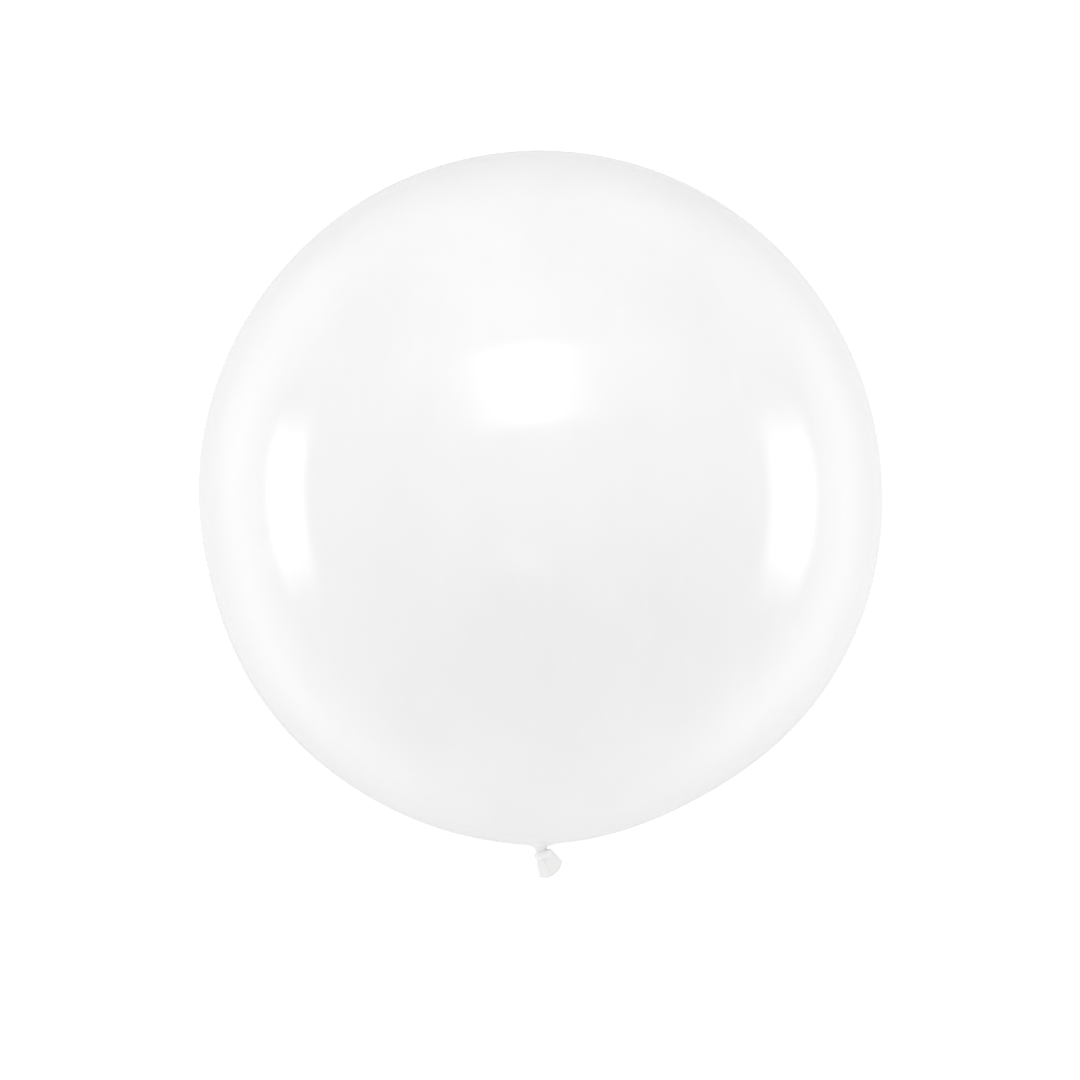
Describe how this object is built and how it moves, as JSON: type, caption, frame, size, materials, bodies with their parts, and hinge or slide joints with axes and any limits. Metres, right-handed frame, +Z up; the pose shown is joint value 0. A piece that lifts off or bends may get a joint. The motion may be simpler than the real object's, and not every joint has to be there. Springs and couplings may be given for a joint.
{
  "type": "giant latex balloon",
  "caption": "Round white latex balloon a metre across, knotted in its own neck and lying on its side on a small flat spot.",
  "frame": {"origin": "middle of the flat spot that the balloon lies on, under the widest ring of its body", "axes": "+Z up from the floor; the crown of the balloon points to +Y, and its neck and knot to -Y; +X is to the right of someone who looks along +Y"},
  "size_m": [0.9983, 1.0624, 0.9947],
  "materials": {
    "latex": "opaque white latex, stretched thin and glossy, with a fine bloom of talc"
  },
  "bodies": {
    "root": {"balloon": "latex"}
  },
  "joints": []
}
